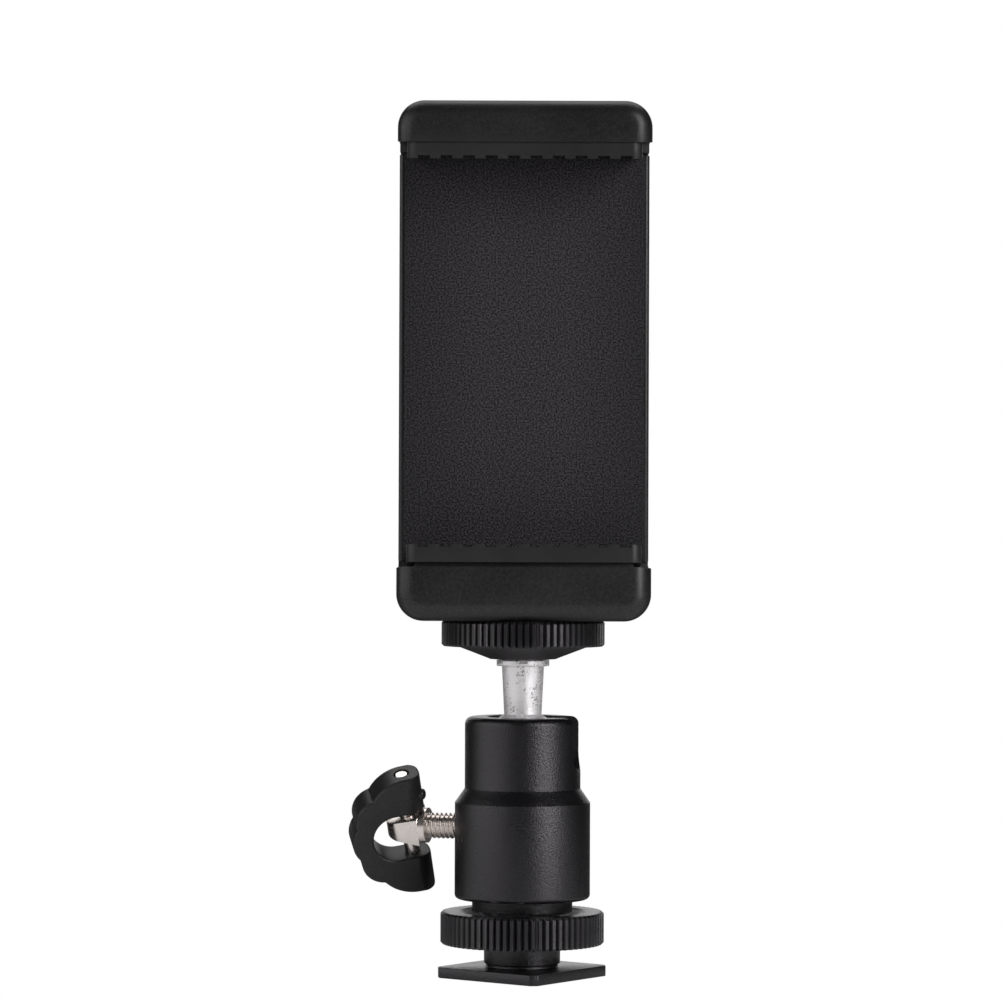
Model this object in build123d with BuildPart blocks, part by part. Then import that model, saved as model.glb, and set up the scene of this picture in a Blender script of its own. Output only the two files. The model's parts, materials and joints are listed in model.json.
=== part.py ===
from build123d import *
from math import cos, radians, sin, sqrt, tan
import os

# Phone clamp on a mini ball head with a hot-shoe foot. Millimetres, +Z up, the phone side faces -Y.
# The origin is the centre of the foot plate's underside, on the axis of the ball head.

os.makedirs("parts", exist_ok=True)

# Clearances
running = 0.05
gap = 0.3

# Hot-shoe foot and its lock ring
plate_side = 18.7
plate_thickness = 1.6
plate_corner = 0.9
plate_turn = -37.3
neck_radius = 5.7
relief_depth = 0.3
relief_height = 0.5
tripod_hole_radius = 2.6
tripod_hole_depth = 6.0
quarter_inch_radius = 3.175
stud_length = 7.5
rail_space = 3.4
ring_height = 4.8
ring_radius = 12.22
recess_radius = 9.45
recess_floor_radius = 8.0
recess_depth = 1.3

# Knurls of the lock ring and the top disc
knurl_count = 72
knurl_depth = 0.42
knurl_groove = 0.44
knurl_chamfer = 0.3

# Base plug
plug_radius = 7.5
plug_lift = 1.1
plug_reveal = 2.1
plug_thread_radius = 8.2
plug_thread_height = 5.6
plug_chamfer = 0.35

# Ball housing
lower_radius = 10.12
lower_height = 14.4
cone_height = 2.1
upper_radius = 8.65
upper_height = 10.7
bottom_round = 0.7
top_round = 1.1
mouth_radius = 5.2
mouth_chamfer = 0.3
slot_width = 6.8
slot_direction = -9.0

# Ball stud
ball_radius = 6.1
ball_drop = 5.1
ball_clearance = 0.2
neck_foot_radius = 2.8
neck_foot_rise = 5.5
flare = 0.85
neck_length = 7.2
neck_top_radius = 3.15
collar_height = 0.85
collar_radius = 3.95
collar_slots = 6
collar_slot_width = 1.3
collar_slot_depth = 0.5
spigot_radius = 1.9
spigot_depth = 6.0
stud_chamfer = 0.6
thread_reach = 4.8

# Pressure cup under the ball
cup_drop = 3.4
cup_skirt = 3.4
cup_cone_height = 3.4
cup_flat_radius = 3.4
cup_tip_drop = 0.9
cup_tip_radius = 0.9
cup_stub_radius = 2.6

# Lock screw, pin and wing lever
screw_height = 10.6
screw_turn = 16.0
screw_lean = 26.5
lever_fold = 25.0
screw_radius = 1.95
screw_tip_radius = 0.6
screw_tip_distance = 2.1
screw_tip_length = 1.8
pin_distance = 17.8
pin_radius = 1.15
pin_recess = 0.1
flange_radius = 2.65
flange_thickness = 1.0
flange_to_pin = 2.1
tongue_width = 5.0
tongue_reach = 3.3
tongue_root = 4.4
tongue_tip = 2.3
lever_drop = 0.8
lever_height = 19.4
lever_reach = 9.0
lever_thickness = 5.0
lever_edge = 0.35
arm_gap = 7.4
arm_gap_reach = 5.8
arm_end = 2.7
arm_round = 0.5
lobe_tangent = -0.2
high_notch_inset = 4.0
high_notch_drop = 2.7
mid_notch_inset = 1.0
mid_notch_height = 2.7
mid_lobe_inset = 1.6
mid_lobe_drop = 4.2
notch_round = 0.4

# Top disc and pad
disc_radius = 12.2
disc_height = 3.8
disc_cone_height = 1.9
disc_cone_top_radius = 9.9
disc_cone_bottom_radius = 5.2
collar_gap = 0.2
pad_radius = 10.8
pad_thickness = 0.6
pad_proud = 0.15

# Phone clamp: the jaws' inner faces are toed in, so that they lean towards each other at their front ends
clamp_width = 37.5
clamp_front = 13.0
clamp_rear = 11.0
clamp_body_height = 69.65
lower_jaw_height = 8.05
jaw_step = 0.68
jaw_step_inset = 1.2
jaw_corner = 4.0
jaw_edge = 2.7
jaw_back_edge = 1.5
jaw_toe = 5.0
cover_lift = 0.6
cover_step_inset = 0.6
cover_edge = 0.6
foam_face = 0.5
foam_thickness = 1.5
foam_inset = 0.8
foam_bottom_gap = 0.5
foam_top_gap = 0.5
front_plate_thickness = 1.6
shell_wall = 1.8
side_wall = 1.6
insert_radius = 4.6
insert_height = 5.5

# Rubber grips
lower_grip_strip = 2.2
upper_grip_strip = 2.0
grip_margin = 1.4
grip_corner = 1.6
rib_pitch = 3.3
rib_width = 1.55
rib_height = 0.45

# Upper jaw and slider
lip_lift = 0.65
lip_height = 6.3
skirt_inset = 0.1
skirt_front = 0.2
slide_clearance = 0.4
slide_thickness = 2.4
slide_floor_gap = 6.6
slide_into_jaw = 5.0
post_height = 13.6
peg_radius = 1.0
peg_inset = 4.65
peg_height = 24.0
spring_radius = 1.6
spring_wire = 0.35
hook_wire_gap = 0.1

# Screws of the clamp
boss_radius = 1.6
boss_inset = 3.6
low_boss_height = 19.6
high_boss_drop = 6.0
screw_shank_radius = 0.9
screw_head_radius = 1.7
screw_head_height = 1.0
screw_reach = 5.0
jaw_screw_spacing = 14.0
jaw_screw_drop = 3.3

# Heights, from the foot up
ring_bottom = plate_thickness + rail_space
ring_top = ring_bottom + ring_height
plug_bottom = ring_top - recess_depth + plug_lift
housing_bottom = plug_bottom + plug_reveal
plug_top = housing_bottom + plug_thread_height
screw_z = housing_bottom + screw_height
cone_bottom = housing_bottom + lower_height
cone_top = cone_bottom + cone_height
housing_top = cone_top + upper_height
ball_z = housing_top - ball_drop
neck_foot_z = ball_z + neck_foot_rise
collar_bottom = neck_foot_z + neck_length
collar_top = collar_bottom + collar_height
disc_cone_bottom = collar_top + collar_gap
disc_bottom = disc_cone_bottom + disc_cone_height
disc_top = disc_bottom + disc_height
clamp_bottom = disc_top + pad_proud
thread_top = clamp_bottom + thread_reach
lower_jaw_top = clamp_bottom + lower_jaw_height
cover_bottom = lower_jaw_top + cover_lift
body_top = clamp_bottom + clamp_body_height
upper_lip = body_top + lip_lift
clamp_top = upper_lip + lip_height
skirt_bottom = body_top + gap
slide_top = skirt_bottom + slide_into_jaw
slide_bottom = lower_jaw_top + slide_floor_gap
post_z = clamp_bottom + post_height
peg_z = slide_bottom + peg_height
jaw_screw_z = clamp_top - jaw_screw_drop

# Places across the clamp, from the foam back
foam_back = foam_thickness - foam_face
plate_back = foam_back + front_plate_thickness
shell_inner = clamp_rear - shell_wall
slide_front = plate_back + gap
slide_back = slide_front + slide_thickness
spring_y = (slide_back + shell_inner) / 2
boss_x = clamp_width / 2 - boss_inset
boss_heights = (clamp_bottom + low_boss_height, body_top - high_boss_drop)
boss_places = [(x, z) for z in boss_heights for x in (-boss_x, boss_x)]
slide_width = 2 * (boss_x - boss_radius - slide_clearance)
peg_x = slide_width / 2 - peg_inset
foam_width = clamp_width - 2 * foam_inset
rib_count = 1 + int((clamp_width - 2 * grip_margin - rib_width) / rib_pitch)
grip_width = (rib_count - 1) * rib_pitch + rib_width


def knurled(base_z, radius, height):
    """A disc with straight V grooves and chamfered edges round its rim, standing at the height base_z."""
    with BuildPart() as disc:
        with BuildSketch(Plane.XY.offset(base_z)):
            Circle(radius)
            with PolarLocations(radius, knurl_count):
                Polygon((-knurl_depth, 0), (knurl_groove / 2, -knurl_groove / 2),
                        (knurl_groove / 2, knurl_groove / 2), align=None, mode=Mode.SUBTRACT)
        extrude(amount=height)
        with BuildSketch(Plane.XZ):
            with BuildLine():
                Polyline((0, base_z), (radius - knurl_chamfer, base_z), (radius, base_z + knurl_chamfer),
                         (radius, base_z + height - knurl_chamfer), (radius - knurl_chamfer, base_z + height),
                         (0, base_z + height), close=True)
            make_face()
        revolve(axis=Axis.Z, mode=Mode.INTERSECT)
    return disc.part


# Foot: a square shoe plate with cut corners, turned boss, ring thread and the stud that screws into the head
with BuildPart() as shoe_foot:
    with BuildSketch():
        Rectangle(plate_side, plate_side, rotation=plate_turn)
        chamfer(vertices(), plate_corner)
    extrude(amount=plate_thickness)
    with BuildSketch(Plane.XZ):
        with BuildLine():
            Polyline((0, 0), (neck_radius - relief_depth, 0),
                     (neck_radius - relief_depth, plate_thickness + relief_height),
                     (neck_radius, plate_thickness + relief_height), (neck_radius, plug_bottom),
                     (quarter_inch_radius, plug_bottom), (quarter_inch_radius, plug_bottom + stud_length),
                     (0, plug_bottom + stud_length), close=True)
        make_face()
    revolve(axis=Axis.Z)
    with BuildSketch():
        Circle(tripod_hole_radius)
    extrude(amount=tripod_hole_depth, mode=Mode.SUBTRACT)
shoe_foot.part.label = "shoe_foot"
export_step(shoe_foot.part, "parts/shoe_foot.step")

# Lock ring: knurled, threaded onto the foot, with a dished top that clears the base plug
ring_blank = knurled(ring_bottom, ring_radius, ring_height)
with BuildPart() as lock_ring:
    add(ring_blank)
    with BuildSketch(Plane.XZ):
        with BuildLine():
            Polyline((0, ring_top - recess_depth), (recess_floor_radius, ring_top - recess_depth),
                     (recess_radius, ring_top), (0, ring_top), close=True)
        make_face()
    revolve(axis=Axis.Z, mode=Mode.SUBTRACT)
    with BuildSketch(Plane.XY.offset(ring_bottom)):
        Circle(neck_radius + running)
    extrude(amount=ring_height, mode=Mode.SUBTRACT)
lock_ring.part.label = "lock_ring"
export_step(lock_ring.part, "parts/lock_ring.step")

# Base plug: screwed into the housing from below, it takes the stud of the foot
with BuildPart() as base_plug:
    with BuildSketch(Plane.XZ):
        with BuildLine():
            Polyline((quarter_inch_radius, plug_bottom), (plug_radius - plug_chamfer, plug_bottom),
                     (plug_radius, plug_bottom + plug_chamfer), (plug_radius, housing_bottom),
                     (plug_thread_radius, housing_bottom), (plug_thread_radius, plug_top),
                     (quarter_inch_radius, plug_top), close=True)
        make_face()
    revolve(axis=Axis.Z)
base_plug.part.label = "base_plug"
export_step(base_plug.part, "parts/base_plug.step")

# Directions of the lock screw: outward along the screw, towards the viewer, and along the lever's pin
screw_out = Vector(-cos(radians(screw_turn)), sin(radians(screw_turn)), 0)
screw_side = Vector(-sin(radians(screw_turn)), -cos(radians(screw_turn)), 0)
up = Vector(0, 0, 1)
pin_along = up * cos(radians(screw_lean)) + screw_side * sin(radians(screw_lean))
pin_across = screw_side * cos(radians(screw_lean)) - up * sin(radians(screw_lean))
screw_plane = Plane(origin=(0, 0, screw_z), x_dir=pin_along, z_dir=screw_out)
pin_centre = screw_plane.origin + screw_out * pin_distance

# Housing: turned barrel with a cone step, bored from below, with a ball seat, a mouth and the neck slot
slot_out = Vector(cos(radians(slot_direction)), sin(radians(slot_direction)), 0)
seat_radius = ball_radius + ball_clearance
slot_plane = Plane(origin=(0, 0, ball_z), x_dir=up.cross(slot_out), z_dir=slot_out)
mouth_bottom = ball_z + sqrt(seat_radius**2 - mouth_radius**2)
with BuildPart() as ball_housing:
    with BuildSketch(Plane.XZ):
        with BuildLine():
            Polyline((0, housing_bottom), (lower_radius, housing_bottom), (lower_radius, cone_bottom),
                     (upper_radius, cone_top), (upper_radius, housing_top), (0, housing_top), close=True)
        make_face()
        fillet(vertices().group_by(Axis.X)[-1].sort_by(Axis.Y)[0], bottom_round)
        fillet(vertices().group_by(Axis.X)[1].sort_by(Axis.Y)[-1], top_round)
    revolve(axis=Axis.Z)
    with BuildSketch(Plane.XZ):
        with BuildLine():
            Polyline((0, housing_bottom), (plug_thread_radius, housing_bottom),
                     (plug_thread_radius, plug_top), (seat_radius, plug_top), (seat_radius, ball_z))
            seat_arc = RadiusArc((seat_radius, ball_z), (mouth_radius, mouth_bottom), -seat_radius)
            Polyline(seat_arc @ 1, (mouth_radius, housing_top - mouth_chamfer),
                     (mouth_radius + mouth_chamfer, housing_top), (0, housing_top), (0, housing_bottom))
        make_face()
    revolve(axis=Axis.Z, mode=Mode.SUBTRACT)
    with BuildSketch(slot_plane):
        Circle(slot_width / 2)
        with Locations((0, (housing_top - ball_z) / 2)):
            Rectangle(slot_width, housing_top - ball_z)
    extrude(amount=lower_radius, mode=Mode.SUBTRACT)
    with BuildSketch(screw_plane):
        Circle(screw_radius + running)
    extrude(amount=2 * lower_radius, mode=Mode.SUBTRACT)
ball_housing.part.label = "ball_housing"
export_step(ball_housing.part, "parts/ball_housing.step")

# Pressure cup: dished seat under the ball, with a cone below that the tip of the lock screw drives up
cup_radius = seat_radius - 2 * running
cup_top = ball_z - cup_drop
cup_tip_z = screw_z - cup_tip_drop
cup_bottom = cup_tip_z + cup_cone_height
cup_rim_radius = sqrt(seat_radius**2 - (ball_z - cup_top) ** 2)
with BuildPart() as pressure_cup:
    with BuildSketch(Plane.XZ):
        with BuildLine():
            dish = RadiusArc((0, ball_z - seat_radius), (cup_rim_radius, cup_top), -seat_radius)
            Polyline(dish @ 1, (cup_radius, cup_top), (cup_radius, cup_top - cup_skirt),
                     (cup_flat_radius, cup_bottom), (cup_stub_radius, cup_bottom),
                     (cup_tip_radius, cup_tip_z), (0, cup_tip_z), dish @ 0)
        make_face()
    revolve(axis=Axis.Z)
pressure_cup.part.label = "pressure_cup"
export_step(pressure_cup.part, "parts/pressure_cup.step")

# Ball stud: ball, flared and tapered neck, and a collar with slots in its top edge
flare_radius = neck_foot_radius + flare
with BuildPart() as ball_stud:
    with BuildSketch(Plane.XZ):
        with BuildLine():
            ball_arc = ThreePointArc((0, ball_z - ball_radius), (ball_radius, ball_z),
                                     (flare_radius, ball_z + sqrt(ball_radius**2 - flare_radius**2)))
            Polyline(ball_arc @ 1, (neck_foot_radius, neck_foot_z), (neck_top_radius, collar_bottom),
                     (collar_radius, collar_bottom), (collar_radius, collar_top),
                     (0, collar_top), ball_arc @ 0)
        make_face()
    revolve(axis=Axis.Z)
    with BuildSketch(Plane.XY.offset(collar_top)):
        Circle(spigot_radius)
    extrude(amount=-spigot_depth, mode=Mode.SUBTRACT)
    with BuildSketch(Plane.XY.offset(collar_top)):
        with PolarLocations(collar_radius, collar_slots, start_angle=90):
            Rectangle(collar_radius, collar_slot_width)
    extrude(amount=-collar_slot_depth, mode=Mode.SUBTRACT)
ball_stud.part.label = "ball_stud"
export_step(ball_stud.part, "parts/ball_stud.step")

# Steel 1/4 inch stud with a plain spigot pressed into the neck
with BuildPart() as stud_screw:
    with BuildSketch(Plane.XY.offset(collar_top - spigot_depth)):
        Circle(spigot_radius)
    extrude(amount=spigot_depth)
    with BuildSketch(Plane.XY.offset(collar_top)):
        Circle(quarter_inch_radius)
    extrude(amount=thread_top - collar_top)
    chamfer(stud_screw.edges().filter_by(GeomType.CIRCLE).sort_by(Axis.Z)[-1], stud_chamfer)
stud_screw.part.label = "stud_screw"
export_step(stud_screw.part, "parts/stud_screw.step")

# Lock screw: pointed M4 screw, thin flange, and a flat tongue that tapers to a rounded end
flange_inner = pin_distance - flange_to_pin - flange_thickness
round_start = tongue_reach - tongue_width / 2
tongue_plane = Plane(origin=pin_centre, x_dir=screw_out, z_dir=pin_across)
pin_plane = Plane(origin=pin_centre, x_dir=screw_out, z_dir=pin_along)
with BuildPart() as tongue:
    with BuildSketch(tongue_plane):
        with BuildLine():
            Polyline((-flange_to_pin, tongue_root / 2), (tongue_reach, tongue_tip / 2),
                     (tongue_reach, -tongue_tip / 2), (-flange_to_pin, -tongue_root / 2), close=True)
        make_face()
    extrude(amount=tongue_width / 2, both=True)
    with BuildSketch(pin_plane):
        with Locations((round_start, 0)):
            Circle(tongue_width / 2)
        with Locations(((round_start - flange_to_pin) / 2, 0)):
            Rectangle(round_start + flange_to_pin, tongue_width)
    extrude(amount=tongue_root, both=True, mode=Mode.INTERSECT)
with BuildPart() as lock_screw:
    with BuildSketch(screw_plane.offset(screw_tip_distance)):
        Circle(screw_tip_radius)
    with BuildSketch(screw_plane.offset(screw_tip_distance + screw_tip_length)):
        Circle(screw_radius)
    loft()
    with BuildSketch(screw_plane.offset(screw_tip_distance + screw_tip_length)):
        Circle(screw_radius)
    extrude(amount=flange_inner - screw_tip_distance - screw_tip_length)
    with BuildSketch(screw_plane.offset(flange_inner)):
        Circle(flange_radius)
    extrude(amount=flange_thickness)
    add(tongue.part)
    with BuildSketch(pin_plane):
        Circle(pin_radius)
    extrude(amount=tongue_width, both=True, mode=Mode.SUBTRACT)
lock_screw.part.label = "lock_screw"
export_step(lock_screw.part, "parts/lock_screw.step")

# Pin through the tongue and both arms of the lever
lever_centre = pin_centre - pin_along * lever_drop
with BuildPart() as lever_pin:
    with BuildSketch(Plane(origin=lever_centre, x_dir=screw_out, z_dir=pin_along)):
        Circle(pin_radius)
    extrude(amount=lever_height / 2 - pin_recess, both=True)
lever_pin.part.label = "lever_pin"
export_step(lever_pin.part, "parts/lever_pin.step")

# Wing lever: C-shaped moulding with five outer lobes, round-ended arms and a hole through both arms
lever_out = screw_out * cos(radians(lever_fold)) + pin_across * sin(radians(lever_fold))
lever_face = pin_across * cos(radians(lever_fold)) - screw_out * sin(radians(lever_fold))
half_height = lever_height / 2
notch_high = (lever_reach - high_notch_inset, half_height - high_notch_drop)
notch_mid = (lever_reach - mid_notch_inset, mid_notch_height)
lobe_mid = (lever_reach - mid_lobe_inset, half_height - mid_lobe_drop)
lobe_start = (lobe_tangent, half_height)
arm_corner = (-arm_end, arm_gap / 2)
gap_root = (arm_gap_reach - arm_gap / 2, arm_gap / 2)


def lower(point):
    """The same point of the lever's outline on the lower arm."""
    return (point[0], -point[1])


with BuildPart() as wing_lever:
    with BuildSketch(Plane(origin=lever_centre, x_dir=lever_out, z_dir=lever_face)):
        with BuildLine():
            TangentArc(lobe_start, notch_high, tangent=(1, 0))
            ThreePointArc(notch_high, lobe_mid, notch_mid)
            ThreePointArc(notch_mid, (lever_reach, 0), lower(notch_mid))
            ThreePointArc(lower(notch_mid), lower(lobe_mid), lower(notch_high))
            TangentArc(lower(lobe_start), lower(notch_high), tangent=(1, 0))
            Polyline(lower(lobe_start), (-arm_end, -half_height), lower(arm_corner), lower(gap_root))
            ThreePointArc(lower(gap_root), (arm_gap_reach, 0), gap_root)
            Polyline(gap_root, arm_corner, (-arm_end, half_height), lobe_start)
        make_face()
        fillet(vertices().group_by(Axis.X)[0], arm_round)
        fillet(vertices().filter_by_position(Axis.X, notch_high[0] - gap, notch_mid[0] + gap), notch_round)
    extrude(amount=lever_thickness / 2, both=True)
    fillet(wing_lever.faces().sort_by(SortBy.AREA)[-2:].edges(), lever_edge)
    with BuildSketch(Plane(origin=lever_centre, x_dir=lever_out, z_dir=pin_along)):
        with Locations((lever_thickness / 2 - arm_end, 0)):
            Circle(lever_thickness / 2)
        with Locations(((lever_reach + lever_thickness / 2 - arm_end) / 2, 0)):
            Rectangle(lever_reach - lever_thickness / 2 + arm_end, lever_thickness)
    extrude(amount=lever_height, both=True, mode=Mode.INTERSECT)
    with BuildSketch(Plane(origin=lever_centre, x_dir=lever_out, z_dir=pin_along)):
        Circle(pin_radius + running)
    extrude(amount=lever_height, both=True, mode=Mode.SUBTRACT)
wing_lever.part.label = "wing_lever"
export_step(wing_lever.part, "parts/wing_lever.step")

# Top disc: knurled locking nut with a conical underside and a shallow seat for its pad
disc_blank = knurled(disc_bottom, disc_radius, disc_height)
with BuildPart() as top_disc:
    add(disc_blank)
    with BuildSketch(Plane.XZ):
        with BuildLine():
            Polyline((0, disc_cone_bottom), (disc_cone_bottom_radius, disc_cone_bottom),
                     (disc_cone_top_radius, disc_bottom), (0, disc_bottom), close=True)
        make_face()
    revolve(axis=Axis.Z)
    with BuildSketch(Plane.XY.offset(disc_top)):
        Circle(pad_radius)
    extrude(amount=pad_proud - pad_thickness, mode=Mode.SUBTRACT)
    with BuildSketch(Plane.XY.offset(disc_cone_bottom)):
        Circle(quarter_inch_radius + running)
    extrude(amount=disc_top - disc_cone_bottom, mode=Mode.SUBTRACT)
top_disc.part.label = "top_disc"
export_step(top_disc.part, "parts/top_disc.step")

# Friction pad glued into the seat of the disc
with BuildPart() as disc_pad:
    with BuildSketch(Plane.XY.offset(clamp_bottom)):
        Circle(pad_radius)
        Circle(quarter_inch_radius + 2 * running, mode=Mode.SUBTRACT)
    extrude(amount=-pad_thickness)
disc_pad.part.label = "disc_pad"
export_step(disc_pad.part, "parts/disc_pad.step")

# Clamp back: rear shell with the lower jaw as one moulding, open in front, where the cover closes it
depth = clamp_front + clamp_rear
toe_run = clamp_front + foam_back
toe_rise = toe_run * tan(radians(jaw_toe))
lower_face = Plane(origin=(0, -clamp_front, lower_jaw_top), x_dir=(1, 0, 0),
                   z_dir=(0, sin(radians(jaw_toe)), cos(radians(jaw_toe))))
plinth_width = grip_width - 2 * jaw_step_inset
plinth_length = toe_run - 2 * jaw_step_inset
with BuildPart() as clamp_back:
    with BuildSketch(Plane.XZ.offset(clamp_front)):
        with Locations((0, clamp_bottom + lower_jaw_height / 2)):
            Rectangle(clamp_width, lower_jaw_height)
        fillet(vertices().group_by(Axis.Y)[0], jaw_corner)
    extrude(amount=-depth)
    for face_edges, edge_radius in ((clamp_back.edges().group_by(Axis.Y)[0], jaw_edge),
                                    (clamp_back.edges().group_by(Axis.Y)[-1], jaw_back_edge)):
        fillet(face_edges.filter_by_position(Axis.Z, clamp_bottom - gap, lower_jaw_top - gap), edge_radius)
    with BuildSketch(Plane.YZ):
        with BuildLine():
            Polyline((-clamp_front, lower_jaw_top), (foam_back, lower_jaw_top),
                     (foam_back, lower_jaw_top - toe_rise), close=True)
        make_face()
    extrude(amount=clamp_width, both=True, mode=Mode.SUBTRACT)
    with BuildSketch(lower_face):
        with Locations((0, jaw_step_inset + plinth_length / 2)):
            Rectangle(plinth_width, plinth_length)
    extrude(amount=jaw_step)
    with BuildSketch(Plane.XY.offset(lower_jaw_top)):
        with Locations((0, (foam_back + cover_step_inset + clamp_rear) / 2)):
            Rectangle(clamp_width - 2 * cover_step_inset, clamp_rear - foam_back - cover_step_inset)
        fillet(vertices().group_by(Axis.Y)[-1], jaw_back_edge)
    extrude(amount=cover_lift)
    with BuildSketch(Plane.XY.offset(lower_jaw_top)):
        with Locations((0, (plate_back + clamp_rear) / 2)):
            Rectangle(clamp_width, clamp_rear - plate_back)
        fillet(vertices().group_by(Axis.Y)[-1], jaw_back_edge)
    extrude(amount=body_top - lower_jaw_top)
    with BuildSketch(Plane.XZ.offset(-plate_back)):
        with Locations((0, (cover_bottom + body_top - side_wall) / 2)):
            Rectangle(clamp_width - 2 * side_wall, body_top - side_wall - cover_bottom)
    extrude(amount=-(shell_inner - plate_back), mode=Mode.SUBTRACT)
    with BuildSketch(Plane.XY.offset(body_top)):
        with Locations((0, (plate_back + slide_back + gap) / 2)):
            Rectangle(slide_width + 2 * gap, slide_back + gap - plate_back)
    extrude(amount=-side_wall, mode=Mode.SUBTRACT)
    with BuildSketch(Plane.XZ.offset(-shell_inner)):
        with Locations((-peg_x, post_z), (peg_x, post_z)):
            Circle(peg_radius)
    extrude(amount=shell_inner - slide_back - gap)
    with BuildSketch(Plane.XZ.offset(-clamp_rear)):
        with Locations(*boss_places):
            Circle(screw_head_radius + gap / 2)
    extrude(amount=screw_head_height, mode=Mode.SUBTRACT)
    with BuildSketch(Plane.XZ.offset(-clamp_rear)):
        with Locations(*boss_places):
            Circle(screw_shank_radius + running)
    extrude(amount=shell_wall, mode=Mode.SUBTRACT)
    with BuildSketch(Plane.XY.offset(clamp_bottom)):
        Circle(insert_radius)
    extrude(amount=insert_height, mode=Mode.SUBTRACT)
clamp_back.part.label = "clamp_back"
export_step(clamp_back.part, "parts/clamp_back.step")

# Brass 1/4 inch insert moulded into the bottom
with BuildPart() as thread_insert:
    with BuildSketch(Plane.XY.offset(clamp_bottom)):
        Circle(insert_radius)
        Circle(quarter_inch_radius + running, mode=Mode.SUBTRACT)
    extrude(amount=insert_height)
thread_insert.part.label = "thread_insert"
export_step(thread_insert.part, "parts/thread_insert.step")

# Front cover: flat plate with four screw bosses behind it
with BuildPart() as front_plate:
    with BuildSketch(Plane.XZ.offset(-plate_back)):
        with Locations((0, (cover_bottom + body_top) / 2)):
            Rectangle(clamp_width, body_top - cover_bottom)
    extrude(amount=front_plate_thickness)
    fillet(front_plate.edges().filter_by(Axis.Z).group_by(Axis.Y)[0], cover_edge)
    with BuildSketch(Plane.XZ.offset(-plate_back)):
        with Locations(*boss_places):
            Circle(boss_radius)
    extrude(amount=-(shell_inner - plate_back))
    with BuildSketch(Plane.XZ.offset(-shell_inner)):
        with Locations(*boss_places):
            Circle(screw_shank_radius)
    extrude(amount=screw_reach, mode=Mode.SUBTRACT)
front_plate.part.label = "front_plate"
export_step(front_plate.part, "parts/front_plate.step")

# Four screws from the back hold the two halves together
with BuildPart() as body_screws:
    with BuildSketch(Plane.XZ.offset(-clamp_rear)):
        with Locations(*boss_places):
            Circle(screw_head_radius)
    extrude(amount=screw_head_height)
    with BuildSketch(Plane.XZ.offset(-clamp_rear + screw_head_height)):
        with Locations(*boss_places):
            Circle(screw_shank_radius)
    extrude(amount=shell_wall - screw_head_height + screw_reach)
body_screws.part.label = "body_screws"
export_step(body_screws.part, "parts/body_screws.step")

# Foam pad glued to the front cover
with BuildPart() as foam_pad:
    with BuildSketch(Plane.XZ.offset(-foam_back)):
        with Locations((0, (cover_bottom + foam_bottom_gap + body_top - foam_top_gap) / 2)):
            Rectangle(foam_width, body_top - foam_top_gap - cover_bottom - foam_bottom_gap)
    extrude(amount=foam_thickness)
foam_pad.part.label = "foam_pad"
export_step(foam_pad.part, "parts/foam_pad.step")

def ribbed_grip(face, strip):
    """A rubber pad on a toed-in jaw face: rounded front corners and notches that leave a row of ribs."""
    height = strip + rib_height
    foam_side = (clamp_front - foam_face - gap) / cos(radians(jaw_toe)) - height * tan(radians(jaw_toe))
    with BuildPart() as grip:
        with BuildSketch(face):
            with Locations((0, (gap + foam_side) / 2)):
                Rectangle(grip_width, foam_side - gap)
            fillet(vertices().group_by(Axis.Y)[0], grip_corner)
        extrude(amount=height)
        with BuildSketch(face.offset(strip)):
            with Locations((0, (gap + foam_side) / 2)):
                with GridLocations(rib_pitch, 1, rib_count - 1, 1):
                    Rectangle(rib_pitch - rib_width, 2 * foam_side)
        extrude(amount=rib_height, mode=Mode.SUBTRACT)
    return grip


# Rubber grips of the two jaws, each a strip with a row of ribs across its working face
lower_grip = ribbed_grip(lower_face.offset(jaw_step), lower_grip_strip)
lower_grip.part.label = "lower_grip"
export_step(lower_grip.part, "parts/lower_grip.step")

upper_face = Plane(origin=(0, -clamp_front, upper_lip), x_dir=(-1, 0, 0),
                   z_dir=(0, sin(radians(jaw_toe)), -cos(radians(jaw_toe))))
upper_grip = ribbed_grip(upper_face, upper_grip_strip)
upper_grip.part.label = "upper_grip"
export_step(upper_grip.part, "parts/upper_grip.step")

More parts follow.
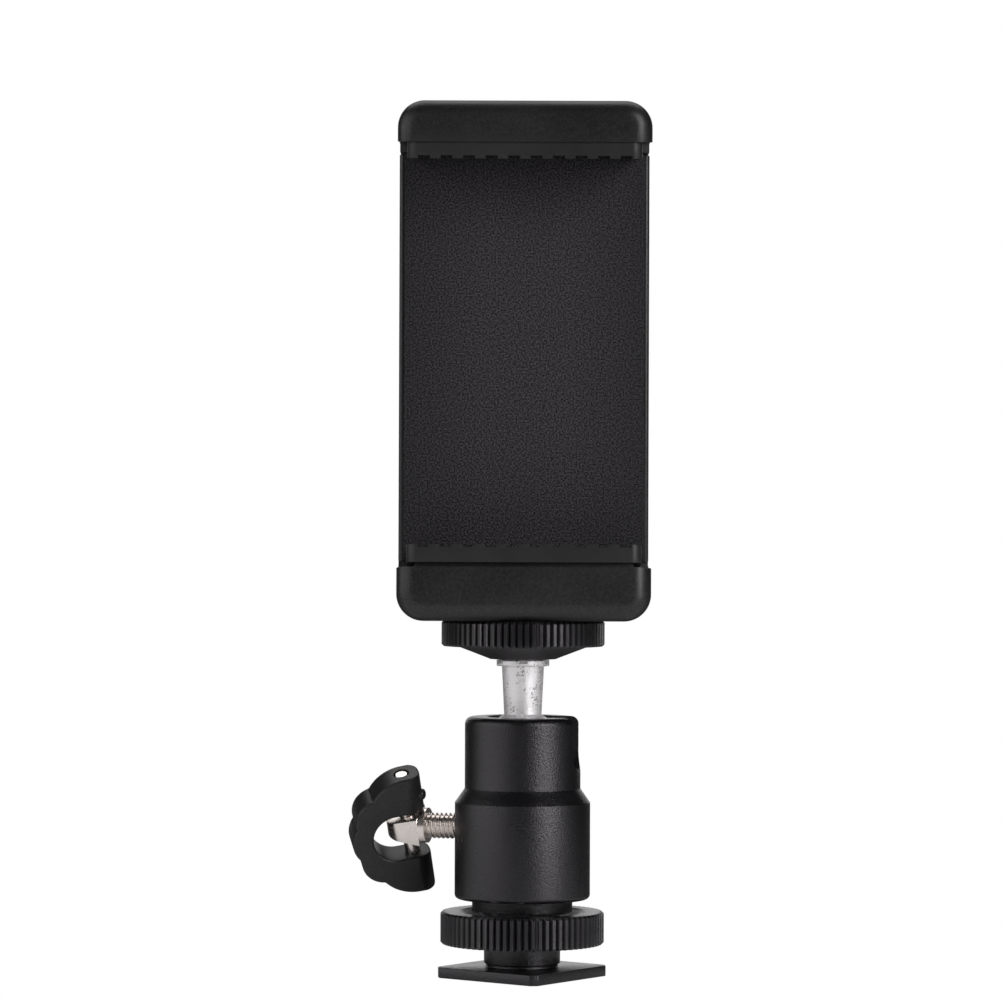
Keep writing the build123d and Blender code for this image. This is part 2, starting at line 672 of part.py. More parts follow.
# Upper jaw: moving cap with rounded corners, an inset skirt over the body and a pocket for the slider
skirt_rise = (clamp_front - skirt_front) * tan(radians(jaw_toe))
jaw_screw_places = [(-jaw_screw_spacing / 2, jaw_screw_z), (jaw_screw_spacing / 2, jaw_screw_z)]
with BuildPart() as upper_jaw:
    with BuildSketch(Plane.XZ.offset(clamp_front)):
        with Locations((0, upper_lip + lip_height / 2)):
            Rectangle(clamp_width, lip_height)
        fillet(vertices().group_by(Axis.Y)[-1], jaw_corner)
    extrude(amount=-depth)
    for face_edges, edge_radius in ((upper_jaw.edges().group_by(Axis.Y)[0], jaw_edge),
                                    (upper_jaw.edges().group_by(Axis.Y)[-1], jaw_back_edge)):
        fillet(face_edges.filter_by_position(Axis.Z, upper_lip + gap, clamp_top + gap), edge_radius)
    with BuildSketch(Plane.YZ):
        with BuildLine():
            Polyline((-clamp_front, upper_lip), (-skirt_front, upper_lip + skirt_rise),
                     (clamp_rear, upper_lip + skirt_rise), (clamp_rear, upper_lip), close=True)
        make_face()
    extrude(amount=clamp_width, both=True, mode=Mode.SUBTRACT)
    with BuildSketch(Plane.XY.offset(skirt_bottom)):
        with Locations((0, (clamp_rear - skirt_inset - skirt_front) / 2)):
            Rectangle(clamp_width - 2 * skirt_inset, clamp_rear - skirt_inset + skirt_front)
        fillet(vertices().group_by(Axis.Y)[-1], jaw_back_edge)
    extrude(amount=upper_lip + skirt_rise - skirt_bottom)
    with BuildSketch(Plane.XY.offset(skirt_bottom)):
        with Locations((0, (slide_front + slide_back) / 2)):
            Rectangle(slide_width, slide_thickness)
    extrude(amount=slide_into_jaw, mode=Mode.SUBTRACT)
    with BuildSketch(Plane.XZ.offset(-clamp_rear)):
        with Locations(*jaw_screw_places):
            Circle(screw_head_radius)
    extrude(amount=screw_head_height, mode=Mode.SUBTRACT)
    with BuildSketch(Plane.XZ.offset(-clamp_rear)):
        with Locations(*jaw_screw_places):
            Circle(screw_shank_radius)
    extrude(amount=clamp_rear - slide_back, mode=Mode.SUBTRACT)
upper_jaw.part.label = "upper_jaw"
export_step(upper_jaw.part, "parts/upper_jaw.step")

# Slider: flat plate in the shell, held in the jaw by two screws, with two pegs for the springs
with BuildPart() as slide_plate:
    with BuildSketch(Plane.XZ.offset(-slide_back)):
        with Locations((0, (slide_bottom + slide_top) / 2)):
            Rectangle(slide_width, slide_top - slide_bottom)
    extrude(amount=slide_thickness)
    with BuildSketch(Plane.XZ.offset(-slide_back)):
        with Locations((-peg_x, peg_z), (peg_x, peg_z)):
            Circle(peg_radius)
    extrude(amount=-(shell_inner - gap - slide_back))
    with BuildSketch(Plane.XZ.offset(-slide_back)):
        with Locations(*jaw_screw_places):
            Circle(screw_shank_radius)
    extrude(amount=slide_thickness, mode=Mode.SUBTRACT)
slide_plate.part.label = "slide_plate"
export_step(slide_plate.part, "parts/slide_plate.step")

# Two screws through the back of the jaw into the slider
with BuildPart() as jaw_screws:
    with BuildSketch(Plane.XZ.offset(-clamp_rear)):
        with Locations(*jaw_screw_places):
            Circle(screw_head_radius)
    extrude(amount=screw_head_height)
    with BuildSketch(Plane.XZ.offset(-clamp_rear + screw_head_height)):
        with Locations(*jaw_screw_places):
            Circle(screw_shank_radius)
    extrude(amount=clamp_rear - screw_head_height - slide_front)
jaw_screws.part.label = "jaw_screws"
export_step(jaw_screws.part, "parts/jaw_screws.step")

# Extension springs between the posts of the shell and the pegs of the slider: close-wound, with end loops
loop_radius = peg_radius + hook_wire_gap + spring_wire
coil_bottom = post_z + 2 * loop_radius
coil_top = peg_z - 2 * loop_radius
for side, side_name in ((-1, "left"), (1, "right")):
    with BuildPart() as spring:
        with BuildSketch(Plane.XY.offset(coil_bottom)):
            with Locations((side * peg_x, spring_y)):
                Circle(spring_radius)
                Circle(spring_radius - 2 * spring_wire, mode=Mode.SUBTRACT)
        extrude(amount=coil_top - coil_bottom)
        for loop_z, arm_z in ((post_z, coil_bottom), (peg_z, coil_top)):
            toward_coil = 1 if arm_z > loop_z else -1
            with BuildSketch(Plane.XZ.offset(-spring_y + spring_wire)):
                with Locations((side * peg_x, loop_z)):
                    Circle(loop_radius + spring_wire)
                    Circle(loop_radius - spring_wire, mode=Mode.SUBTRACT)
            extrude(amount=-2 * spring_wire)
            arm_length = abs(arm_z - loop_z) - loop_radius + spring_radius
            arm_centre = loop_z + toward_coil * (loop_radius + arm_length / 2)
            with BuildSketch(Plane.XZ.offset(-spring_y + spring_wire)):
                with Locations((side * peg_x, arm_centre)):
                    Rectangle(2 * (spring_radius - spring_wire), arm_length)
            extrude(amount=-2 * spring_wire)
    spring.part.label = f"{side_name}_spring"
    export_step(spring.part, f"parts/{side_name}_spring.step")
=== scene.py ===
import json
from math import cos, floor, pi, radians, sin

import bmesh
import bpy
from mathutils import Matrix, Quaternion, Vector
from mathutils.bvhtree import BVHTree


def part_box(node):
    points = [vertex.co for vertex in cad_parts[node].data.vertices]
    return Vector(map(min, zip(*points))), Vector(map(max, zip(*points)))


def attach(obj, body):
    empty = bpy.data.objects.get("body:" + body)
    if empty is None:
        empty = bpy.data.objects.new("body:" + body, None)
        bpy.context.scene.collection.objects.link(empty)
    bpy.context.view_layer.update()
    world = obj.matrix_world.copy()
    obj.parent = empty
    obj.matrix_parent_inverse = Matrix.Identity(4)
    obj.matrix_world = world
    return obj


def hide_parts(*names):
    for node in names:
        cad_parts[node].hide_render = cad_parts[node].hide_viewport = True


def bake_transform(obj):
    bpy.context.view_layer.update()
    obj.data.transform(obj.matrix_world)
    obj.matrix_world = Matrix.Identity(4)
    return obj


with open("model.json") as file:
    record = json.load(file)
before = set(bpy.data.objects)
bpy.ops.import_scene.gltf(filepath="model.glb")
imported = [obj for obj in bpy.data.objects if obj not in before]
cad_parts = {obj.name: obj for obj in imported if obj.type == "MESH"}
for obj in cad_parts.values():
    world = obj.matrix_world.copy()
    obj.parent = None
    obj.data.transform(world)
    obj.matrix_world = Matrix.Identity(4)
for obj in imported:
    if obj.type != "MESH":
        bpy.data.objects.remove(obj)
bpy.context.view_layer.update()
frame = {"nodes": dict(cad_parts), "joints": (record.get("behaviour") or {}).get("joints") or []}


# Studio: a lens just under the middle of the clamp, a floor that the lens sees plain white and that runs
# out into a pale backdrop, a broad softbox on the left, a narrow one on the right and a weak one above and
# behind, and dark flags all round. To the object the floor is dark as painted shade, except for a white strip
# under and before the object that glows as painted bounce light.
scene = bpy.context.scene
mm = 0.001
lens_place = Vector((-3.45, -600.0, 68.4)) * mm
lens_aim = Vector((-3.45, 0.0, 71.2)) * mm
lens_roll = radians(0.2)
focal_length = 144.2
film_width = 36.0
sight_from = 0.05
sight_to = 30.0

camera_data = bpy.data.cameras.new("camera")
camera_data.lens = focal_length
camera_data.sensor_width = film_width
camera_data.clip_start = sight_from
camera_data.clip_end = sight_to
camera = bpy.data.objects.new("camera", camera_data)
camera.location = lens_place
lens_way = (lens_aim - lens_place).to_track_quat("-Z", "Y")
camera.rotation_euler = (lens_way @ Quaternion((0, 0, 1), lens_roll)).to_euler()
scene.collection.objects.link(camera)
scene.camera = camera
scene.view_settings.view_transform = "Standard"

lit_middle = Vector((0, 0, 0.07))


def softbox(name, place, width, height, power):
    """A rectangular light that faces the middle of the object."""
    data = bpy.data.lights.new(name, "AREA")
    data.shape = "RECTANGLE"
    data.size, data.size_y = width, height
    data.energy = power
    lamp = bpy.data.objects.new(name, data)
    lamp.location = place
    lamp.rotation_euler = (lit_middle - lamp.location).to_track_quat("-Z", "Y").to_euler()
    lamp.visible_camera = False
    scene.collection.objects.link(lamp)


softbox("right_softbox", place=Vector((1.05, -1.01, 0.25)), width=0.56, height=1.7, power=20.0)
softbox("left_softbox", place=Vector((-1.13, -0.47, 0.22)), width=1.80, height=1.5, power=10.0)
softbox("top_softbox", place=Vector((0.0, 0.75, 1.40)), width=1.6, height=0.9, power=8.0)


def reckoned(inner, links, operation, *terms, clamp=False):
    """The result of a math node on sockets and plain numbers."""
    node = inner.new("ShaderNodeMath")
    node.operation = operation
    node.use_clamp = clamp
    for term_input, term in zip(node.inputs, terms):
        if isinstance(term, float):
            term_input.default_value = term
        else:
            links.new(term, term_input)
    return node.outputs[0]


def ranged(inner, links, source, low, high, start=0.3, end=0.7):
    """Maps a mask onto a range of values."""
    node = inner.new("ShaderNodeMapRange")
    node.inputs["From Min"].default_value = start
    node.inputs["From Max"].default_value = end
    node.inputs["To Min"].default_value = low
    node.inputs["To Max"].default_value = high
    links.new(source, node.inputs["Value"])
    return node.outputs["Result"]


def piece_place(inner, links):
    """The three coordinates of a point in its own piece's frame."""
    place = inner.new("ShaderNodeTexCoord")
    ways = inner.new("ShaderNodeSeparateXYZ")
    links.new(place.outputs["Object"], ways.inputs[0])
    return ways.outputs


flag_strength = 0.015
backdrop_spread = 0.90
world = bpy.data.worlds.new("backdrop")
scene.world = world
world.use_nodes = True
world_nodes, world_links = world.node_tree.nodes, world.node_tree.links
world_nodes.clear()
pale = world_nodes.new("ShaderNodeBackground")
flags = world_nodes.new("ShaderNodeBackground")
for sky, strength in ((pale, 1.0), (flags, flag_strength)):
    sky.inputs["Color"].default_value = (1, 1, 1, 1)
    sky.inputs["Strength"].default_value = strength
sky_way = world_nodes.new("ShaderNodeTexCoord")
sky_ways = world_nodes.new("ShaderNodeSeparateXYZ")
sky_path = world_nodes.new("ShaderNodeLightPath")
world_links.new(sky_way.outputs["Generated"], sky_ways.inputs[0])
behind = reckoned(world_nodes, world_links, "GREATER_THAN", sky_ways.outputs["Y"], backdrop_spread)
paler = reckoned(world_nodes, world_links, "MAXIMUM", behind, sky_path.outputs["Is Camera Ray"])
either_sky = world_nodes.new("ShaderNodeMixShader")
world_out = world_nodes.new("ShaderNodeOutputWorld")
world_links.new(paler, either_sky.inputs[0])
world_links.new(flags.outputs[0], either_sky.inputs[1])
world_links.new(pale.outputs[0], either_sky.inputs[2])
world_links.new(either_sky.outputs[0], world_out.inputs["Surface"])

# Painted light: away from the lens the floor is dark as painted shade, and the strip before the object is
# pale and glows a little as painted bounce light.
floor_half = 4.0
strip_middle = -0.12
strip_half = 0.115
strip_fade = 0.04
strip_shade = 0.9
floor_painted_shade = 0.10
strip_glow = 0.2
floor_material = bpy.data.materials.new("pale_floor")
floor_material.use_nodes = True
floor_nodes, floor_links = floor_material.node_tree.nodes, floor_material.node_tree.links
floor_shader = floor_nodes["Principled BSDF"]
floor_place = piece_place(floor_nodes, floor_links)
floor_off = reckoned(floor_nodes, floor_links, "SUBTRACT", floor_place["Y"], strip_middle)
floor_away = reckoned(floor_nodes, floor_links, "ABSOLUTE", floor_off)
floor_fall = ranged(floor_nodes, floor_links, floor_away, strip_shade, floor_painted_shade, strip_half,
                    strip_half + strip_fade)
floor_light = reckoned(floor_nodes, floor_links, "MULTIPLY", floor_fall, strip_glow)
floor_links.new(floor_fall, floor_shader.inputs["Base Color"])
floor_links.new(floor_light, floor_shader.inputs["Emission Strength"])
floor_shader.inputs["Emission Color"].default_value = (1, 1, 1, 1)
floor_shader.inputs["Roughness"].default_value = 0.8
floor_shader.inputs["Specular IOR Level"].default_value = 0.0
floor_glow = floor_nodes.new("ShaderNodeEmission")
floor_path = floor_nodes.new("ShaderNodeLightPath")
floor_mix = floor_nodes.new("ShaderNodeMixShader")
floor_links.new(floor_path.outputs["Is Camera Ray"], floor_mix.inputs[0])
floor_links.new(floor_shader.outputs[0], floor_mix.inputs[1])
floor_links.new(floor_glow.outputs[0], floor_mix.inputs[2])
floor_links.new(floor_mix.outputs[0], floor_nodes["Material Output"].inputs["Surface"])
floor_corners = [(x * floor_half, y * floor_half, 0) for x, y in ((-1, -1), (1, -1), (1, 1), (-1, 1))]
floor_mesh = bpy.data.meshes.new("floor")
floor_mesh.from_pydata(floor_corners, [], [(0, 1, 2, 3)])
floor_mesh.materials.append(floor_material)
floor_piece = bpy.data.objects.new("floor", floor_mesh)
scene.collection.objects.link(floor_piece)


# Foot: aluminium, milled square with cut corners and turned above, then bead-blasted and anodised
# black. The rails of a camera's shoe hold its plate, and its stud is screwed into the head.
def socket(group, name, way, value=0.0):
    """Adds a named input or output to a node group."""
    made = group.interface.new_socket(name=name, in_out=way, socket_type="NodeSocketFloat")
    made.default_value = value


def grain_group():
    """Fine grain and slow patches, both from the piece's own coordinates. Sizes are in millimetres."""
    group = bpy.data.node_groups.new("surface_grain", "ShaderNodeTree")
    socket(group, "Grain Size", "INPUT", 0.2)
    socket(group, "Patch Size", "INPUT", 6.0)
    socket(group, "Height", "OUTPUT")
    socket(group, "Patches", "OUTPUT")
    inner, links = group.nodes, group.links
    inside, outside = inner.new("NodeGroupInput"), inner.new("NodeGroupOutput")
    place = inner.new("ShaderNodeTexCoord")
    for size, result, detail, roughness in (("Grain Size", "Height", 3.0, 0.6),
                                            ("Patch Size", "Patches", 2.0, 0.5)):
        noise = inner.new("ShaderNodeTexNoise")
        noise.inputs["Detail"].default_value = detail
        noise.inputs["Roughness"].default_value = roughness
        scale = reckoned(inner, links, "DIVIDE", 1 / mm, inside.outputs[size])
        links.new(place.outputs["Object"], noise.inputs["Vector"])
        links.new(scale, noise.inputs["Scale"])
        links.new(noise.outputs["Fac"], outside.inputs[result])
    return group


# Its mask is used to paint highlights onto convex edges.
def edge_highlight_group():
    """How far a point is out on a convex edge, from 0 on flats to 1 on the sharpest edges."""
    group = bpy.data.node_groups.new("painted_edge_highlights", "ShaderNodeTree")
    socket(group, "Threshold", "INPUT", 0.53)
    socket(group, "Spread", "INPUT", 0.06)
    socket(group, "Mask", "OUTPUT")
    inner, links = group.nodes, group.links
    inside, outside = inner.new("NodeGroupInput"), inner.new("NodeGroupOutput")
    shape = inner.new("ShaderNodeNewGeometry")
    above = reckoned(inner, links, "SUBTRACT", shape.outputs["Pointiness"], inside.outputs["Threshold"])
    share = reckoned(inner, links, "DIVIDE", above, inside.outputs["Spread"], clamp=True)
    links.new(share, outside.inputs["Mask"])
    return group


surface_grain = grain_group()
painted_edge_highlights = edge_highlight_group()


def blank_material(name):
    """A material with its Principled shader, and the node tree's own nodes and links."""
    material = bpy.data.materials.new(name)
    material.use_nodes = True
    tree = material.node_tree
    return material, tree.nodes["Principled BSDF"], tree.nodes, tree.links


def placed(inner, group, **values):
    """Puts a node group into a material with its own values."""
    node = inner.new("ShaderNodeGroup")
    node.node_tree = group
    for name, value in values.items():
        node.inputs[name.replace("_", " ")].default_value = value
    return node


def tinted(inner, links, source, dark, light):
    """Goes from one colour to another as a mask goes from 0 to 1."""
    node = inner.new("ShaderNodeMix")
    node.data_type = "RGBA"
    node.inputs["A"].default_value = (*dark, 1)
    node.inputs["B"].default_value = (*light, 1)
    links.new(source, node.inputs["Factor"])
    return node.outputs["Result"]


def slow_gloss(inner, links, grain, shader, low, high):
    """Lets the roughness change from patch to patch."""
    links.new(ranged(inner, links, grain.outputs["Patches"], low, high), shader.inputs["Roughness"])


def bumped(inner, links, height, shader, strength, depth):
    """Feeds a height through a bump node into the shader's normal. Depth is in millimetres."""
    node = inner.new("ShaderNodeBump")
    node.inputs["Strength"].default_value = strength
    node.inputs["Distance"].default_value = depth * mm
    links.new(height, node.inputs["Height"])
    links.new(node.outputs["Normal"], shader.inputs["Normal"])


def anodised_black(name, grain_depth, rough, edge_start, edge_spread):
    """Bead-blasted aluminium, anodised black: satin, with a fine speckle, and a painted highlight that greys
    its convex edges.
    """
    dye_black, painted_highlight_grey = (0.0052, 0.0046, 0.0056), (0.085, 0.081, 0.088)
    material, shader, inner, links = blank_material(name)
    grain = placed(inner, surface_grain, Grain_Size=0.26, Patch_Size=9.0)
    edges = placed(inner, painted_edge_highlights, Threshold=edge_start, Spread=edge_spread)
    # Painted highlight: the colour goes from the black dye to grey on convex edges.
    links.new(tinted(inner, links, edges.outputs["Mask"], dye_black, painted_highlight_grey), shader.inputs["Base Color"])
    slow_gloss(inner, links, grain, shader, rough - 0.03, rough + 0.05)
    shader.inputs["Specular IOR Level"].default_value = 0.62
    shader.inputs["Specular Tint"].default_value = (1.0, 0.955, 1.0, 1)
    bumped(inner, links, grain.outputs["Height"], shader, strength=0.55, depth=grain_depth)
    return material


black_anodised = anodised_black("black_anodised", grain_depth=0.13, rough=0.28, edge_start=0.56,
                                edge_spread=0.1)
nodes = frame["nodes"]


def smooth_shaded(mesh, sharp_angle=32.0):
    """Smooth shading that breaks at edges sharper than the angle."""
    limit = radians(sharp_angle)
    shape = bmesh.new()
    shape.from_mesh(mesh)
    for face in shape.faces:
        face.smooth = True
    for edge in shape.edges:
        edge.smooth = len(edge.link_faces) == 2 and edge.calc_face_angle(0) < limit
    shape.to_mesh(mesh)
    shape.free()


def softened(node, rounding, cut=None):
    """The mesh of a CAD node with its flats joined up and its sharp edges rounded, in millimetres.

    cut, a point and a direction, keeps only what lies past the point, and closes the cut.
    """
    weld_within = 0.002
    flat_within = 0.6
    sharp_from = 30.0
    shape = bmesh.new()
    shape.from_mesh(nodes[node].data)
    bmesh.ops.remove_doubles(shape, verts=shape.verts, dist=weld_within * mm)
    if cut:
        whole = shape.verts[:] + shape.edges[:] + shape.faces[:]
        bmesh.ops.bisect_plane(shape, geom=whole, plane_co=cut[0], plane_no=cut[1], clear_inner=True)
        bmesh.ops.holes_fill(shape, edges=[edge for edge in shape.edges if edge.is_boundary])
    bmesh.ops.dissolve_limit(shape, angle_limit=radians(flat_within), verts=shape.verts, edges=shape.edges)
    sharp = [edge for edge in shape.edges
             if len(edge.link_faces) == 2 and edge.calc_face_angle(0) > radians(sharp_from)]
    bmesh.ops.bevel(shape, geom=sharp, offset=rounding * mm, segments=3, profile=0.5, affect="EDGES",
                    clamp_overlap=True)
    bmesh.ops.triangulate(shape, faces=[face for face in shape.faces if len(face.verts) > 4])
    mesh = bpy.data.meshes.new(node + "_softened")
    shape.to_mesh(mesh)
    shape.free()
    smooth_shaded(mesh)
    return mesh


def new_piece(name, mesh, material, body, slot, *replaced):
    """Links a mesh as a piece that rides on a body and stands for CAD nodes."""
    mesh.materials.clear()
    mesh.materials.append(material)
    piece = bpy.data.objects.new(name, mesh)
    scene.collection.objects.link(piece)
    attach(piece, body)
    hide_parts(*replaced)
    return piece


new_piece("foot", softened("shoe_foot", rounding=0.12), black_anodised,
          "base", "black_anodised", "shoe_foot")


# Lock ring: a knurled aluminium nut on the foot's thread, black anodised, with a dish in its top. A pale
# metal skin laid in the dish is a painted reflection, bright where the backdrop would show in it.
def turned(name, profile, around, closed=False, shaping=None, sharp_angle=32.0):
    """Turns a profile of (radius, height) points in millimetres round the vertical axis.

    shaping(angle, radius, height) may move a point in or out and up or down, for knurls, slots and threads.
    """
    shape = bmesh.new()
    rows = []
    for radius, height in profile:
        if radius == 0:
            rows.append([shape.verts.new((0, 0, height * mm))])
            continue
        row = []
        for step in range(around):
            angle = 2 * pi * step / around
            r, h = shaping(angle, radius, height) if shaping else (radius, height)
            row.append(shape.verts.new((r * cos(angle) * mm, r * sin(angle) * mm, h * mm)))
        rows.append(row)
    pairs = list(zip(rows, rows[1:])) + ([(rows[-1], rows[0])] if closed else [])
    for low, high in pairs:
        for step in range(around):
            after = (step + 1) % around
            if len(low) == 1:
                shape.faces.new((low[0], high[after], high[step]))
            elif len(high) == 1:
                shape.faces.new((low[step], low[after], high[0]))
            else:
                shape.faces.new((low[step], low[after], high[after], high[step]))
    bmesh.ops.recalc_face_normals(shape, faces=shape.faces)
    mesh = bpy.data.meshes.new(name)
    shape.to_mesh(mesh)
    shape.free()
    smooth_shaded(mesh, sharp_angle)
    return mesh


def box_mm(node):
    """The lowest and highest corner of a CAD node in millimetres."""
    low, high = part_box(node)
    return Vector(low) / mm, Vector(high) / mm


hair = 0.01
rim_chamfer = 0.3
rim_band = 0.5
knurls = 72
knurl_depth = 0.46
crest_share = 0.38
samples_per_knurl = 16
knurl_sharp_angle = 28.0


def knurl(rim_radius):
    """Shaping for the straight knurls of a rim: flat crests with V grooves between them."""
    def shaping(angle, radius, height):
        if radius < rim_radius - rim_chamfer - hair:
            return radius, height
        from_crest = abs((angle / (2 * pi) * knurls) % 1.0 - 0.5) * 2
        off = max(0.0, (from_crest - crest_share) / (1 - crest_share))
        return radius - knurl_depth * off, height
    return shaping


def rim(radius, low, high):
    """The profile of a chamfered rim, from the flat below it to the flat above it."""
    chamfer_radius = radius - rim_chamfer
    return [(chamfer_radius - rim_band, low), (chamfer_radius, low), (radius, low + rim_chamfer),
            (radius, (low + high) / 2),
            (radius, high - rim_chamfer), (chamfer_radius, high), (chamfer_radius - rim_band, high)]


def knurled(name, profile, rim_radius):
    """A turned nut with knurls round its rim."""
    return turned(name, profile, knurls * samples_per_knurl, closed=True, shaping=knurl(rim_radius),
                  sharp_angle=knurl_sharp_angle)


ring_low, ring_high = box_mm("lock_ring")
ring_radius = (ring_high.x - ring_low.x) / 2
neck_radius = 5.75
dish_radius = 9.45
dish_lip = 0.1
dish_lip_drop = 0.05
dish_floor_radius = 8.0
dish_depth = 1.3
dish_floor = ring_high.z - dish_depth
ring_profile = [(neck_radius, ring_low.z)] + rim(ring_radius, ring_low.z, ring_high.z)
ring_profile += [(dish_radius + dish_lip, ring_high.z), (dish_radius, ring_high.z - dish_lip_drop),
                 (dish_floor_radius, dish_floor), (neck_radius, dish_floor)]
knurled_anodised = anodised_black("knurled_anodised", grain_depth=0.05, rough=0.30, edge_start=0.55,
                                  edge_spread=0.06)
new_piece("knurled_lock_ring", knurled("knurled_lock_ring", ring_profile, ring_radius), knurled_anodised,
          "ring", "black_anodised", "lock_ring")


def reflection_skin_metal(name):
    """Pale metal, half metallic, whose bright colour is a painted reflection."""
    material, shader, inner, links = blank_material(name)
    grain = placed(inner, surface_grain, Grain_Size=0.5, Patch_Size=2.0)
    links.new(tinted(inner, links, grain.outputs["Patches"], (0.80, 0.79, 0.80), (0.98, 0.97, 0.98)),
              shader.inputs["Base Color"])
    shader.inputs["Roughness"].default_value = 0.42
    shader.inputs["Metallic"].default_value = 0.4
    return material


painted_reflection_metal = reflection_skin_metal("painted_reflection_metal")
# Painted reflection: a thin pale skin over the dish of the lock ring.
skin = 0.02
dish_edge = 0.12
dish_neck_gap = 0.1
dish_slope = (dish_depth - dish_lip_drop) / (dish_radius - dish_floor_radius)
dish_profile = [(dish_radius - dish_edge, ring_high.z - dish_lip_drop - dish_edge * dish_slope),
                (dish_floor_radius, dish_floor), (neck_radius + dish_neck_gap, dish_floor)]
dish_profile += [(radius, height + skin) for radius, height in dish_profile[::-1]]
new_piece("lock_ring_turned_dish", turned("lock_ring_turned_dish", dish_profile, 144, closed=True),
          painted_reflection_metal, "ring", None, "lock_ring")


# Base plug: turned aluminium, anodised with the barrel. It is screwed into the barrel from below and
# takes the stud of the foot.
new_piece("threaded_base_plug", softened("base_plug", rounding=0.1), black_anodised,
          "base", "black_anodised", "base_plug")


# Barrel of the ball head: turned aluminium with a cone step, blasted and anodised black. A milled slot
# on its right lets the neck tip over to that side.
new_piece("barrel", softened("ball_housing", rounding=0.12), black_anodised, "base", "black_anodised",
          "ball_housing")


# Ball stud: a die-cast ball and tapered neck, blasted and left bright, with shallow dark pits. The collar
# at its top has six notches above a rounded lip, and carries the disc.
def blasted_metal(name):
    """Bright casting with a satin, slightly pitted skin."""
    pit_grey, bright = (0.36, 0.35, 0.365), (0.985, 0.965, 0.98)
    material, shader, inner, links = blank_material(name)
    grain = placed(inner, surface_grain, Grain_Size=0.3, Patch_Size=2.5)
    pit_level = ranged(inner, links, grain.outputs["Patches"], 0.30, 0.45, start=0.50, end=0.62)
    above = reckoned(inner, links, "SUBTRACT", grain.outputs["Height"], pit_level)
    clear = ranged(inner, links, above, 0.0, 1.0, start=-0.04, end=0.03)
    links.new(tinted(inner, links, clear, pit_grey, bright), shader.inputs["Base Color"])
    slow_gloss(inner, links, grain, shader, 0.34, 0.5)
    shader.inputs["Metallic"].default_value = 0.55
    bumped(inner, links, grain.outputs["Height"], shader, strength=0.8, depth=0.12)
    return material


cast_neck = blasted_metal("cast_neck")
stud_high = box_mm("ball_stud")[1]
collar_radius = 3.95
collar_bore = 3.2
collar_height = 0.85
collar_overlap = 0.02
collar_notches = 6
notch_half_width = 0.62
notch_radius = 3.45
notch_step = 0.02
lip_height = 0.45
lip_round = 0.22
brim_round = 0.08
collar_low = stud_high.z - collar_height
collar_cut = (Vector((0, 0, collar_low + collar_overlap)) * mm, Vector((0, 0, -1)))
new_piece("ball_and_neck", softened("ball_stud", rounding=0.06, cut=collar_cut), cast_neck,
          "ball", "cast_neck", "ball_stud")


def bend(centre, radius, start, end, steps):
    """Points along an arc of a profile, angles in degrees from the outward direction."""
    angles = [radians(start + (end - start) * i / steps) for i in range(steps + 1)]
    return [(centre[0] + radius * cos(angle), centre[1] + radius * sin(angle)) for angle in angles]


def notched(angle, radius, height):
    """Shaping for a collar with notches cut into its upper part."""
    off = ((angle - pi / 2) * collar_notches / (2 * pi) + 0.5) % 1.0 - 0.5
    aside = collar_radius * sin(off * 2 * pi / collar_notches)
    if height > collar_low + lip_height and abs(aside) < notch_half_width:
        return min(radius, notch_radius), height
    return radius, height


lip_centre = (collar_radius - lip_round, collar_low + lip_round)
brim_centre = (collar_radius - brim_round, stud_high.z - brim_round)
collar_profile = [(collar_bore, collar_low)] + bend(lip_centre, lip_round, -90, 0, steps=5)
collar_profile += [(collar_radius, collar_low + lip_height),
                   (collar_radius, collar_low + lip_height + notch_step)]
collar_profile += bend(brim_centre, brim_round, 0, 90, steps=3) + [(collar_bore, stud_high.z)]
new_piece("notched_collar", turned("notched_collar", collar_profile, 288, closed=True, shaping=notched),
          cast_neck, "ball", "cast_neck", "ball_stud")


# Stud: a 1/4 inch steel screw, zinc plated, pressed into the top of the neck. The disc and the clamp
# are screwed onto it.
def plated(name, colour, rough):
    """Plain plated steel."""
    material, shader, inner, links = blank_material(name)
    grain = placed(inner, surface_grain, Grain_Size=0.3, Patch_Size=1.5)
    links.new(tinted(inner, links, grain.outputs["Patches"], [0.86 * c for c in colour], colour),
              shader.inputs["Base Color"])
    slow_gloss(inner, links, grain, shader, rough - 0.05, rough + 0.06)
    shader.inputs["Metallic"].default_value = 1.0
    bumped(inner, links, grain.outputs["Height"], shader, strength=0.2, depth=0.003)
    return material


zinc_steel = plated("zinc_steel", (0.60, 0.60, 0.61), rough=0.3)
new_piece("quarter_inch_stud", softened("stud_screw", rounding=0.06), zinc_steel, "ball", "zinc_steel",
          "stud_screw")


# Lock screw: nickel-plated steel with a rolled M4 thread, a thin flange and a tongue flattened for
# the lever's pin. Its point drives the cup up against the ball.
def thread(pitch, depth, crest_radius):
    """Shaping for a right-hand thread whose crests lie at crest_radius."""
    root_share = 0.16
    flank_share = 0.68

    def shaping(angle, radius, height):
        if radius < crest_radius - hair:
            return radius, height
        from_root = abs((height / pitch - angle / (2 * pi)) % 1.0 - 0.5) * 2
        rise = min(1.0, max(0.0, (from_root - root_share) / flank_share))
        return crest_radius - depth * (1 - rise), height
    return shaping


def joined(name, meshes):
    """One mesh from several."""
    shape = bmesh.new()
    for mesh in meshes:
        shape.from_mesh(mesh)
    whole = bpy.data.meshes.new(name)
    shape.to_mesh(whole)
    shape.free()
    return whole


def stood_on(mesh, root, axis, across):
    """Moves a mesh that was turned round the vertical onto another axis."""
    turn = Matrix((across, axis.cross(across), axis)).transposed().to_4x4()
    mesh.transform(Matrix.Translation(root) @ turn)
    return mesh


